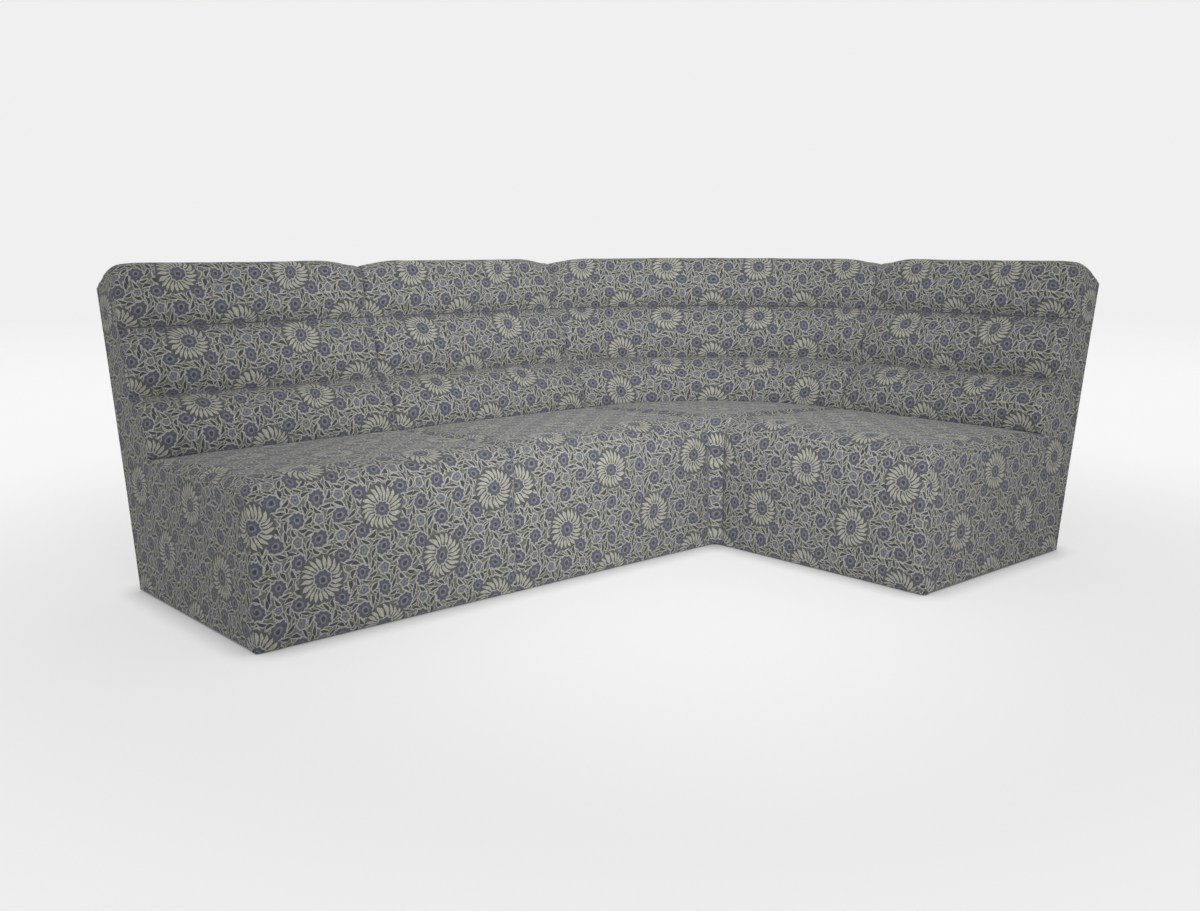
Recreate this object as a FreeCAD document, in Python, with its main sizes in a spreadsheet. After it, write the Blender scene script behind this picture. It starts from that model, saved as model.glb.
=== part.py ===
"""Modular corner sofa: three straight seats and one curved corner seat that hook together.

The long wing runs along X and faces -Y, the short wing runs along Y and faces -X. Every straight seat is
drawn in its own frame (x along the wing, y the depth behind the front plane, z up) and then put in place.
The corner seat is the same section carried a quarter turn round an upright axis.
"""

import FreeCAD, Part
import Sketcher
import math
import os
from FreeCAD import Placement, Rotation, Vector

doc = FreeCAD.newDocument("modular_corner_sofa")
sheet = doc.addObject("Spreadsheet::Sheet", "Dims")

# Driving dimensions in millimetres
DIMENSIONS = {
    # outline of a seat
    "module_width": 775,      # one straight seat along its wing
    "module_gap": 1,          # free space between neighbouring seats
    "base_depth": 745,        # front plane to outside back, at the floor
    "top_depth": 931,         # front plane to outside back, at the top of the frame
    "seat_depth": 682,        # front plane to the foot of the back board
    "back_top": 106,          # back thickness at the top of the frame, without the channels
    "corner_offset": 30,      # front planes of both wings to the corner axis
    "glide_height": 10,       # clear space under the base
    "hem_gap": 2,             # clear space under the fabric
    "seat_frame_height": 300,  # floor to the top of the seat rails
    # upholstery
    "seat_pad": 108,          # seat thickness at the front roll
    "seat_fall": 17,          # drop of the seat from front to back
    "front_pad": 30,          # apron thickness
    "front_roll": 66,         # radius of the rolled front edge
    "lumbar_height": 159,     # height of the lowest channel
    "middle_height": 188,     # height of the middle channel
    "top_height": 107,        # middle seam to the top of the frame
    "top_pad": 56,            # padding over the top of the frame
    "top_overhang": 40,       # top channel's front edge ahead of the frame
    "top_round": 40,          # front edge of the top channel to its crest
    "lumbar_foot": 62,        # lowest channel's lower edge ahead of the back board
    "lumbar_bulge": 80,       # channels' faces ahead of the back board
    "middle_bulge": 40,
    "top_bulge": 4,           # top channel's face ahead of its edges
    "seam_depth": 10,         # pad left over the board at a seam
    "swell": 14,              # extra fullness of a channel away from its ends
    "seat_swell": 10,         # extra fullness of the seat away from its ends
    "swell_run": 150,         # distance from an end to full swell
    "pad_clearance": 0.5,     # pads to the boards behind them
    "seam_clearance": 0.4,    # one channel to the next
    "side_cover": 6,          # padded fabric on the ends
    "outside_cover": 6,       # padded fabric on the outside back
    "dust_cloth": 1.5,        # cloth under the base
    # frame
    "ply": 18,                # side frames and ribs
    "board": 9,               # front board, back board, corner deck
    "rail_width": 45,         # square section of the base rails
    "back_rail_height": 50,
    "back_rail_depth": 20,
    "rib_slip": 0.5,          # corner ribs and frames to the bent boards
    "hole_radius": 70,        # lightening holes in the side frames
    "webbing_width": 62,
    "webbing_thickness": 2,
    # floor glides
    "glide_radius": 20,
    "glide_edge": 2,
    "glide_inset": 45,        # glide centre from the end of a rail
    "nail_radius": 2,
    "nail_length": 14,
    "nail_clearance": 0.2,
    # connectors
    "plate_width": 76,
    "plate_height": 120,
    "plate_thickness": 3,
    "plate_clearance": 1,     # side cover round a plate
    "plate_rim": 11,          # bearing of a slotted plate on its side frame
    "hook_width": 36,
    "hook_drop": 28,          # depth of the hook behind the slotted plate
    "tongue_thickness": 5,
    "hook_clearance": 0.5,
    "slot_clearance": 3,      # hook to the sides of its slot
    "connector_height": 150,  # middle of a plate above the floor
    "connector_front": 110,   # middle of the front plate behind the front plane
    "connector_rear": 110,    # middle of the rear plate ahead of the outside back
}

WEBBING_COUNT = 6
for row, (alias, number) in enumerate(DIMENSIONS.items(), start=1):
    sheet.set(f"A{row}", str(number))
    sheet.setAlias(f"A{row}", alias)
doc.recompute()


class Size:
    """A dimension that keeps both its number and the sheet formula it comes from."""

    def __init__(self, value, formula):
        self.value = float(value)
        self.formula = formula

    def __float__(self):
        return self.value

    def __add__(self, other):
        other = as_size(other)
        return Size(self.value + other.value, f"({self.formula} + {other.formula})")

    def __sub__(self, other):
        other = as_size(other)
        return Size(self.value - other.value, f"({self.formula} - {other.formula})")

    def __mul__(self, other):
        other = as_size(other)
        return Size(self.value * other.value, f"({self.formula} * {other.formula})")

    def __truediv__(self, other):
        other = as_size(other)
        return Size(self.value / other.value, f"({self.formula} / {other.formula})")

    def __neg__(self):
        return as_size(0) - self

    def __rsub__(self, other):
        return as_size(other) - self

    def __rtruediv__(self, other):
        return as_size(other) / self

    __radd__ = __add__
    __rmul__ = __mul__


def as_size(value):
    """A plain number as a Size."""
    return value if isinstance(value, Size) else Size(value, str(value))


def root(size):
    """Square root of a Size."""
    return Size(math.sqrt(size.value), f"sqrt({size.formula})")


dim = {alias: Size(sheet.get(alias), f"Dims.{alias}") for alias in DIMENSIONS}

# Levels above the floor
hem_level = dim["hem_gap"]
base_level = dim["glide_height"]
rail_level = dim["seat_frame_height"]
pad_level = rail_level + dim["webbing_thickness"]
seat_front_level = pad_level + dim["seat_pad"]
seat_back_level = seat_front_level - dim["seat_fall"]
lumbar_seam_level = seat_back_level + dim["lumbar_height"]
middle_seam_level = lumbar_seam_level + dim["middle_height"]
frame_level = middle_seam_level + dim["top_height"]

# Slopes of the two sides of the back, as depth gained per height, and the run of what lies on them
outside_slope = (dim["top_depth"] - dim["base_depth"]) / frame_level
inside_slope = ((dim["top_depth"] - dim["back_top"] - dim["seat_depth"])
                / (frame_level - seat_back_level))
board_run = dim["board"] * root(1 + inside_slope * inside_slope)
cover_run = dim["outside_cover"] * root(1 + outside_slope * outside_slope)

# Places across a straight seat
end_line = dim["module_gap"] / 2 + dim["side_cover"]
inner_line = end_line + dim["ply"]
pad_width = dim["module_width"] - 2 * end_line
rail_length = dim["module_width"] - 2 * inner_line
board_line = dim["front_pad"] + dim["board"]

# The corner axis in the sofa's frame, whose origin is the middle of the floor rectangle
reach = dim["corner_offset"] + dim["top_depth"]
axis_x = (2 * dim["module_width"] - dim["module_gap"] / 2 - reach) / 2
axis_y = (dim["module_width"] - dim["module_gap"] / 2 - reach) / 2


def outside_depth(level):
    """Depth of the outside back at a level."""
    return dim["base_depth"] + outside_slope * level


def cover_depth(level):
    """Depth of the inner side of the outside back cover."""
    return outside_depth(level) - cover_run


def inside_depth(level):
    """Depth of the front of the back board."""
    return dim["seat_depth"] + inside_slope * (level - seat_back_level)


def frame_depth(level):
    """Depth of the rear of the back board, where the frame begins."""
    return inside_depth(level) + board_run


def corner_radius(depth):
    """Distance from the corner seat's turning axis of a point at a depth."""
    return dim["corner_offset"] + depth - end_line


# Building blocks


def bind(thing, path, size):
    """Drives a property of a document object by a sheet formula."""
    thing.setExpression(path, as_size(size).formula)


def carry(thing, spot):
    """Moves a shape from its own frame to a spot (x, y, turn about the vertical)."""
    x, y, turn = spot
    thing.Placement = Placement(Vector(float(x), float(y), 0), Rotation(Vector(0, 0, 1), turn))
    bind(thing, "Placement.Base.x", x)
    bind(thing, "Placement.Base.y", y)
    return thing


def place(thing, label, spot):
    """Names a finished piece and sets it in the sofa's frame."""
    thing.Label = label
    pieces.append(carry(thing, spot))


def long_wing(shift):
    """Spot of a frame on the long wing, shifted along the wing from the corner."""
    return axis_x + shift, axis_y + dim["corner_offset"], 0


def short_wing(shift):
    """Spot of a frame on the short wing, which runs towards -Y."""
    return axis_x + dim["corner_offset"], axis_y - shift, -90


def box(corner, lengths):
    """Block with its low corner and its three lengths."""
    block = doc.addObject("Part::Box", "Block")
    for prop, size in zip(("Length", "Width", "Height"), lengths):
        bind(block, prop, size)
    for axis, size in zip("xyz", corner):
        bind(block, f"Placement.Base.{axis}", size)
    return block


def rod(centre, low, radius, height):
    """Upright round bar standing at a centre on a low level."""
    bar = doc.addObject("Part::Cylinder", "Rod")
    bind(bar, "Radius", radius)
    bind(bar, "Height", height)
    bind(bar, "Placement.Base.x", centre[0])
    bind(bar, "Placement.Base.y", centre[1])
    bind(bar, "Placement.Base.z", low)
    return bar


def joined(things):
    """Several shapes fused to one piece."""
    fuse = doc.addObject("Part::MultiFuse", "Joined")
    fuse.Shapes = things
    return fuse


def cut(base, tools):
    """A shape with others taken out of it."""
    result = doc.addObject("Part::Cut", "Cut")
    result.Base = base
    result.Tool = tools[0] if len(tools) == 1 else joined(tools)
    return result


def group(things):
    """Separate like pieces kept together."""
    bundle = doc.addObject("Part::Compound", "Group")
    bundle.Links = things
    return bundle


def origin_plane(body, role):
    """One of a body's own origin planes."""
    return next(plane for plane in body.Origin.OriginFeatures if plane.Role == role)


def new_sketch(body, role):
    """Empty sketch on one of a body's origin planes."""
    sketch = body.newObject("Sketcher::SketchObject", "Outline")
    sketch.AttachmentSupport = (origin_plane(body, role), [""])
    sketch.MapMode = "FlatFace"
    return sketch


def pin(sketch, edge, point, across, up):
    """Fixes a sketch point at driven distances from the sketch's origin."""
    for kind, size in (("DistanceX", across), ("DistanceY", up)):
        number = sketch.addConstraint(
            Sketcher.Constraint(kind, -1, 1, edge, point, size.value))
        bind(sketch, f"Constraints[{number}]", size)


def draw_polygon(sketch, corners):
    """Closed straight-sided outline through driven corners."""
    first = sketch.GeometryCount
    spots = [Vector(across.value, up.value, 0) for across, up in corners]
    for start, end in zip(spots, spots[1:] + spots[:1]):
        sketch.addGeometry(Part.LineSegment(start, end))
    for step, (across, up) in enumerate(corners):
        following = (step + 1) % len(corners)
        sketch.addConstraint(
            Sketcher.Constraint("Coincident", first + step, 2, first + following, 1))
        pin(sketch, first + step, 1, across, up)


def draw_circle(sketch, centre, radius):
    """Circle with a driven centre and radius."""
    spot = Vector(centre[0].value, centre[1].value, 0)
    edge = sketch.addGeometry(Part.Circle(spot, Vector(0, 0, 1), radius.value))
    pin(sketch, edge, 3, *centre)
    number = sketch.addConstraint(Sketcher.Constraint("Radius", edge, radius.value))
    bind(sketch, f"Constraints[{number}]", radius)


def panel(corners, start, thickness, rectangles=(), circles=()):
    """Panel cut to an outline of (depth, level) corners, standing across the wing at a start line."""
    body = doc.addObject("PartDesign::Body", "Panel")
    outline = new_sketch(body, "YZ_Plane")
    draw_polygon(outline, corners)
    bind(outline, "AttachmentOffset.Base.z", start)
    pad = body.newObject("PartDesign::Pad", "Thickness")
    pad.Profile = outline
    bind(pad, "Length", thickness)
    outline.Visibility = False
    doc.recompute()
    if rectangles or circles:
        openings = new_sketch(body, "YZ_Plane")
        for corners_of_one in rectangles:
            draw_polygon(openings, corners_of_one)
        for centre, radius in circles:
            draw_circle(openings, centre, radius)
        bind(openings, "AttachmentOffset.Base.z", start)
        pocket = body.newObject("PartDesign::Pocket", "Openings")
        pocket.Profile = openings
        pocket.Reversed = True
        bind(pocket, "Length", thickness)
        doc.recompute()
    return body


def quarter_ring(corners):
    """Outline of (radius, level) corners carried a quarter turn round the corner axis."""
    body = doc.addObject("PartDesign::Body", "Ring")
    outline = new_sketch(body, "XZ_Plane")
    draw_polygon(outline, corners)
    turn = body.newObject("PartDesign::Revolution", "Turn")
    turn.Profile = outline
    turn.ReferenceAxis = (outline, ["V_Axis"])
    turn.Angle = 90
    doc.recompute()
    return body


def between_frames(ring):
    """A ring trimmed to the space between the corner seat's two side frames."""
    space = box((dim["ply"], dim["ply"], as_size(0)), (reach, reach, 2 * frame_level))
    trimmed = doc.addObject("Part::Common", "Trimmed")
    trimmed.Base = ring
    trimmed.Tool = space
    return trimmed


# Frame of a straight seat


def connector_places():
    """Middles of the front and rear connector plates, as (depth, level)."""
    level = dim["connector_height"]
    rear = dim["base_depth"] - dim["connector_rear"]
    return (dim["connector_front"], level), (rear, level)


def side_frame(start, has_slots, back_ease):
    """L-shaped plywood gable with its raked upright and lightening holes."""
    corners = [
        (board_line, base_level),
        (board_line, rail_level),
        (frame_depth(rail_level), rail_level),
        (frame_depth(frame_level), frame_level),
        (cover_depth(frame_level) - back_ease, frame_level),
        (cover_depth(base_level) - back_ease, base_level),
    ]
    front, rear = connector_places()
    spacing = (rear[0] - front[0]) / 3
    hole_level = dim["connector_height"]
    holes = [((front[0] + spacing * step, hole_level), dim["hole_radius"]) for step in (1, 2)]
    slots = []
    if has_slots:
        half_width = dim["plate_width"] / 2 - dim["plate_rim"]
        half_height = dim["plate_height"] / 2 - dim["plate_rim"]
        for depth, level in (front, rear):
            slots.append([
                (depth - half_width, level - half_height),
                (depth + half_width, level - half_height),
                (depth + half_width, level + half_height),
                (depth - half_width, level + half_height),
            ])
    return panel(corners, start, dim["ply"], slots, holes)


def base_rails():
    """Two rails under the seat and two at the floor, the lower ones bored for the glide nails."""
    side = dim["rail_width"]
    size = (rail_length, side, side)
    top = rail_level - side
    rails = [
        box((inner_line, board_line, top), size),
        box((inner_line, frame_depth(rail_level) - side, top), size),
    ]
    bore = dim["nail_radius"] + dim["nail_clearance"]
    for depth in (board_line, cover_depth(base_level) - side):
        rail = box((inner_line, depth, base_level), size)
        bores = [rod((across, depth + side / 2), base_level, bore, dim["nail_length"] + dim["nail_clearance"])
                 for across in glide_lines()]
        rails.append(cut(rail, bores))
    return rails


def back_rails():
    """Three rails behind the back board: one at each seam and one under the crest."""
    height = dim["back_rail_height"]
    levels = (lumbar_seam_level, middle_seam_level, frame_level - height / 2)
    rails = []
    for level in levels:
        low = level - height / 2
        high = level + height / 2
        corners = [
            (frame_depth(low), low),
            (frame_depth(low) + dim["back_rail_depth"], low),
            (frame_depth(high) + dim["back_rail_depth"], high),
            (frame_depth(high), high),
        ]
        rails.append(panel(corners, inner_line, rail_length))
    return rails


def glide_lines():
    """Places of the glides along a floor rail."""
    return inner_line + dim["glide_inset"], dim["module_width"] - inner_line - dim["glide_inset"]


def webbing():
    """Elastic straps from the front seat rail to the rear one."""
    start = board_line
    length = frame_depth(rail_level) - board_run - start
    pitch = rail_length / WEBBING_COUNT
    straps = []
    for strap in range(WEBBING_COUNT):
        across = inner_line + pitch * (strap + 0.5) - dim["webbing_width"] / 2
        straps.append(box((across, start, rail_level),
                          (dim["webbing_width"], length, dim["webbing_thickness"])))
    return straps


def glide(centre):
    """Domed floor glide with its nail."""
    foot = doc.addObject("Part::Cone", "Foot")
    bind(foot, "Radius1", dim["glide_radius"] - dim["glide_edge"])
    bind(foot, "Radius2", dim["glide_radius"])
    bind(foot, "Height", dim["glide_edge"])
    bind(foot, "Placement.Base.x", centre[0])
    bind(foot, "Placement.Base.y", centre[1])
    disc = rod(centre, dim["glide_edge"], dim["glide_radius"], base_level - dim["glide_edge"])
    nail = rod(centre, base_level, dim["nail_radius"], dim["nail_length"])
    return joined([foot, disc, nail])


def glide_holes(centres):
    """Round openings that clear the glides in a dust cover."""
    level = base_level - dim["dust_cloth"]
    radius = dim["glide_radius"] + dim["plate_clearance"]
    return [rod(centre, level, radius, dim["dust_cloth"]) for centre in centres]


# Connectors


def outward_span(face, outward, near, far):
    """Low end and length of a stretch measured outward from the face of a side frame."""
    low = face + near if outward > 0 else face - far
    return low, as_size(far) - near


def connector_plate(face, outward, depth, level):
    """Steel plate screwed to the outer face of a side frame."""
    start, thickness = outward_span(face, outward, as_size(0), dim["plate_thickness"])
    corner = (start, depth - dim["plate_width"] / 2, level - dim["plate_height"] / 2)
    return box(corner, (thickness, dim["plate_width"], dim["plate_height"]))


def slot_floor(level):
    """Level of the lower edge of a slot, on which a hook hangs."""
    return level - dim["plate_height"] / 2 + dim["plate_rim"] + dim["hook_drop"] + dim["slot_clearance"]


def slotted_plates(face, outward):
    """Front and rear plates with an opening that takes a hook from above."""
    plates = []
    half_width = dim["hook_width"] / 2 + dim["slot_clearance"]
    start, thickness = outward_span(face, outward, as_size(0), dim["plate_thickness"])
    for depth, level in connector_places():
        low = slot_floor(level)
        high = level + dim["plate_height"] / 2 - dim["plate_rim"]
        slot = box((start, depth - half_width, low), (thickness, 2 * half_width, high - low))
        plates.append(cut(connector_plate(face, outward, depth, level), [slot]))
    return plates


def hooks(face, outward):
    """Front and rear plates with a tongue that drops behind the neighbour's slotted plate."""
    near_lip = 2 * end_line + dim["hook_clearance"]
    far_lip = near_lip + dim["plate_thickness"]
    tongue_start, tongue_length = outward_span(face, outward, as_size(0), far_lip)
    lip_start, lip_length = outward_span(face, outward, near_lip, far_lip)
    result = []
    for depth, level in connector_places():
        side = depth - dim["hook_width"] / 2
        low = slot_floor(level) + dim["hook_clearance"]
        tongue = box((tongue_start, side, low), (tongue_length, dim["hook_width"], dim["tongue_thickness"]))
        lip = box((lip_start, side, low - dim["hook_drop"]),
                  (lip_length, dim["hook_width"], dim["hook_drop"] + dim["tongue_thickness"]))
        result.append(joined([connector_plate(face, outward, depth, level), tongue, lip]))
    return result


# Upholstery sections, as edges between (depth, level) points


def board_point(level, ahead):
    """Point a distance ahead of the back board at a level."""
    return float(inside_depth(level) - ahead), float(level)


def middle_of(start, end):
    """Point halfway between two points."""
    return (start[0] + end[0]) / 2, (start[1] + end[1]) / 2


def roll_face(low, high, foot, bulge):
    """Bowed face of a channel, from its lower edge to the seam above it."""
    return board_point(low, foot), board_point((low + high) / 2, bulge), board_point(high, dim["seam_depth"])


def channel_section(low, high, foot, bulge, fullness):
    """Stuffed roll between two seams: flat on the board, bowed in front."""
    ease = dim["seam_clearance"] / 2
    low = low + ease
    high = high - ease
    heel, head = board_point(low, dim["pad_clearance"]), board_point(high, dim["pad_clearance"])
    face = roll_face(low, high, foot, bulge + dim["swell"] * fullness)
    return [(heel, face[0]), face, (face[-1], head), (head, heel)]


def crest_edges(start, fullness):
    """Face, front edge and rounded top of the top channel, from its seam to the outside back."""
    swell = float(dim["swell"]) * fullness
    level = float(frame_level)
    front = (float(inside_depth(frame_level) - dim["top_overhang"]), level + float(dim["top_pad"]) / 2)
    crest = (front[0] + float(dim["top_round"]), level + float(dim["top_pad"]) + swell)
    back = (float(dim["top_depth"]), level)
    face = middle_of(start, front)
    face = (face[0] - float(dim["top_bulge"]) - swell, face[1])
    turn = (front[0] + (crest[0] - front[0]) * 0.3, front[1] + (crest[1] - front[1]) * 0.71)
    shoulder = (crest[0] + (back[0] - crest[0]) * 0.6, back[1] + (crest[1] - back[1]) * 0.6)
    return [(start, face, front), (front, turn, crest), (crest, shoulder, back)]


def top_section(fullness):
    """Top channel: padded face, folded over the crest of the frame."""
    low = middle_seam_level + dim["seam_clearance"] / 2
    heel, head = board_point(low, dim["pad_clearance"]), board_point(frame_level, dim["pad_clearance"])
    crest = crest_edges(board_point(low, dim["seam_depth"]), fullness)
    return [(heel, crest[0][0])] + crest + [(crest[-1][-1], head), (head, heel)]


def seat_edges(fullness):
    """Front face, rolled edge and crowned top of the seat, up to the lowest channel."""
    radius = float(dim["front_roll"])
    top = float(seat_front_level) + float(dim["seat_swell"]) * fullness
    end = board_point(seat_back_level, dim["lumbar_foot"])
    low = (0.0, float(hem_level))
    lip = (0.0, top - radius)
    brow = (radius, top)
    turn = (radius * (1 - math.sqrt(0.5)), top - radius * (1 - math.sqrt(0.5)))
    crown = middle_of(brow, end)
    crown = (crown[0], crown[1] + float(dim["seat_swell"]) * (0.4 + 0.4 * fullness))
    return [(low, lip), (lip, turn, brow), (brow, crown, end)]


def seat_section(fullness):
    """Waterfall seat: crowned top and front apron in one pad."""
    rear, heel = board_point(seat_back_level, dim["pad_clearance"]), board_point(pad_level, dim["pad_clearance"])
    inner = float(dim["front_pad"] - dim["pad_clearance"])
    knee = (inner, float(pad_level))
    hem = (inner, float(hem_level))
    front = seat_edges(fullness)
    return front + [(front[-1][-1], rear), (rear, heel), (heel, knee), (knee, hem), (hem, front[0][0])]


def seat_outline():
    """Whole side view of a seat as its ends show it."""
    seat = seat_edges(0)
    lumbar = roll_face(seat_back_level, lumbar_seam_level, dim["lumbar_foot"], dim["lumbar_bulge"])
    middle = roll_face(lumbar_seam_level, middle_seam_level, dim["seam_depth"], dim["middle_bulge"])
    crest = crest_edges(middle[-1], 0)
    tail = (float(outside_depth(hem_level)), float(hem_level))
    return seat + [lumbar, middle] + crest + [(crest[-1][-1], tail), (tail, seat[0][0])]


def wire_of(section, spot):
    """Closed wire of a section, each point carried into space by the spot function."""
    edges = []
    for points in section:
        corners = [spot(*point) for point in points]
        curve = Part.LineSegment(*corners) if len(corners) == 2 else Part.Arc(*corners)
        edges.append(curve.toShape())
    return Part.Wire(edges)


def fullness_at(distance):
    """Share of the swell reached at a distance from the end of a pad: a quarter ellipse."""
    short = max(0.0, 1 - distance / float(dim["swell_run"]))
    return math.sqrt(1 - short * short)


def straight_pad(section):
    """Pad lofted along a straight seat, drawn in at both ends."""
    start, width, run = float(end_line), float(pad_width), float(dim["swell_run"])
    steps = [0, 0.1 * run, 0.4 * run, run, (run + width / 2) / 2, width / 2]
    steps += [width - step for step in steps[-2::-1]]
    wires = []
    for step in steps:
        full = fullness_at(min(step, width - step))
        wires.append(wire_of(section(full), lambda depth, level: Vector(start + step, depth, level)))
    return Part.makeLoft(wires, True, False)


def corner_pad(section):
    """Pad lofted a quarter turn round the corner axis, drawn in at both ends."""
    run = math.degrees(float(dim["swell_run"]) / float(corner_radius(dim["seat_depth"])))
    turns = [0, 0.1 * run, 0.4 * run, run, run + (45 - run) / 2, 45]
    turns += [90 - turn for turn in turns[-2::-1]]
    wires = []
    for turn in turns:
        full = fullness_at(min(turn, 90 - turn) / run * float(dim["swell_run"]))
        angle = math.radians(turn)

        def spot(depth, level):
            radius = float(corner_radius(as_size(depth)))
            return Vector(radius * math.cos(angle), radius * math.sin(angle), level)

        wires.append(wire_of(section(full), spot))
    return Part.makeLoft(wires, True, False)


SECTIONS = {
    "seat_pad": seat_section,
    "lumbar_channel": lambda full: channel_section(
        seat_back_level, lumbar_seam_level, dim["lumbar_foot"], dim["lumbar_bulge"], full),
    "middle_channel": lambda full: channel_section(
        lumbar_seam_level, middle_seam_level, dim["seam_depth"], dim["middle_bulge"], full),
    "top_channel": top_section,
}


def soft(shape):
    """Document object for an upholstery form."""
    form = doc.addObject("Part::Feature", "Upholstery")
    form.Shape = shape
    return form


def end_cover(start, has_connectors):
    """Padded fabric end in the side outline, opened round the connector plates."""
    wire = wire_of(seat_outline(), lambda depth, level: Vector(float(start), depth, level))
    cover = Part.Face(wire).extrude(Vector(float(dim["side_cover"]), 0, 0))
    if has_connectors:
        spare = float(dim["plate_clearance"])
        width = float(dim["plate_width"]) + 2 * spare
        height = float(dim["plate_height"]) + 2 * spare
        for depth, level in connector_places():
            corner = Vector(float(start), float(depth) - width / 2, float(level) - height / 2)
            cover = cover.cut(Part.makeBox(float(dim["side_cover"]), width, height, corner))
    return cover


# Whole seats

pieces = []


def straight_seat(name, spot, left_joint, right_joint):
    """One straight seat; a joint is "hooks", "slots" or None for a free end."""
    width = dim["module_width"]
    left_face, right_face = end_line, width - end_line
    frames = [side_frame(end_line, left_joint == "slots", as_size(0)),
              side_frame(width - inner_line, right_joint == "slots", as_size(0))]
    place(group(frames), f"{name}_side_frames", spot)
    place(group(base_rails()), f"{name}_base_rails", spot)
    place(group(back_rails()), f"{name}_back_rails", spot)
    front = box((end_line, dim["front_pad"], base_level), (pad_width, dim["board"], rail_level - base_level))
    place(group([front]), f"{name}_front_board", spot)
    back_corners = [(inside_depth(pad_level), pad_level), (frame_depth(pad_level), pad_level),
                    (frame_depth(frame_level), frame_level), (inside_depth(frame_level), frame_level)]
    place(panel(back_corners, end_line, pad_width), f"{name}_back_board", spot)
    place(group(webbing()), f"{name}_seat_webbing", spot)
    for part, section in SECTIONS.items():
        place(soft(straight_pad(section)), f"{name}_{part}", spot)
    covers = [end_cover(dim["module_gap"] / 2, left_joint is not None),
              end_cover(right_face, right_joint is not None)]
    place(soft(Part.makeCompound(covers)), f"{name}_side_covers", spot)
    outside_corners = [(cover_depth(hem_level), hem_level), (outside_depth(hem_level), hem_level),
                       (outside_depth(frame_level), frame_level), (cover_depth(frame_level), frame_level)]
    place(panel(outside_corners, end_line, pad_width), f"{name}_outside_back", spot)
    side = dim["rail_width"]
    centres = [(across, depth + side / 2) for across in glide_lines()
               for depth in (board_line, cover_depth(base_level) - side)]
    place(group([glide(centre) for centre in centres]), f"{name}_glides", spot)
    cloth_level = base_level - dim["dust_cloth"]
    cloth = box((end_line, dim["front_pad"], cloth_level),
                (pad_width, cover_depth(cloth_level) - dim["front_pad"], dim["dust_cloth"]))
    place(cut(cloth, glide_holes(centres)), f"{name}_dust_cover", spot)
    for joint, face, outward in ((left_joint, left_face, -1), (right_joint, right_face, 1)):
        if joint == "hooks":
            place(group(hooks(face, outward)), f"{name}_hooks", spot)
        if joint == "slots":
            place(group(slotted_plates(face, outward)), f"{name}_slotted_plates", spot)


def corner_ribs(glide_centres):
    """Plywood rings: floor, seat, one behind each seam and one under the crest."""
    ply, slip = dim["ply"], dim["rib_slip"]
    front = corner_radius(board_line) + slip
    deck_low = pad_level - dim["board"]
    floor_ring = quarter_ring([
        (front, base_level), (corner_radius(cover_depth(base_level)) - slip, base_level),
        (corner_radius(cover_depth(base_level)) - slip, base_level + ply), (front, base_level + ply)])
    bore = dim["nail_radius"] + dim["nail_clearance"]
    bores = [rod(centre, base_level, bore, dim["nail_length"] + dim["nail_clearance"])
             for centre in glide_centres]
    seat_low = deck_low - ply
    seat_rear = corner_radius(frame_depth(seat_low))
    seat_ring = quarter_ring([(front, seat_low), (seat_rear, seat_low), (seat_rear, deck_low), (front, deck_low)])
    ribs = [cut(between_frames(floor_ring), bores), between_frames(seat_ring)]
    for high in (lumbar_seam_level + ply / 2, middle_seam_level + ply / 2, frame_level):
        low = high - ply
        ring = quarter_ring([
            (corner_radius(frame_depth(low)) + slip, low), (corner_radius(cover_depth(low)) - slip, low),
            (corner_radius(cover_depth(high)) - slip, high), (corner_radius(frame_depth(high)) + slip, high)])
        ribs.append(between_frames(ring))
    return ribs


def ring_spot(radius, turn):
    """Point on the floor ring at a radius and an angle in degrees."""
    angle = math.radians(turn)
    return radius * math.cos(angle), radius * math.sin(angle)


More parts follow.
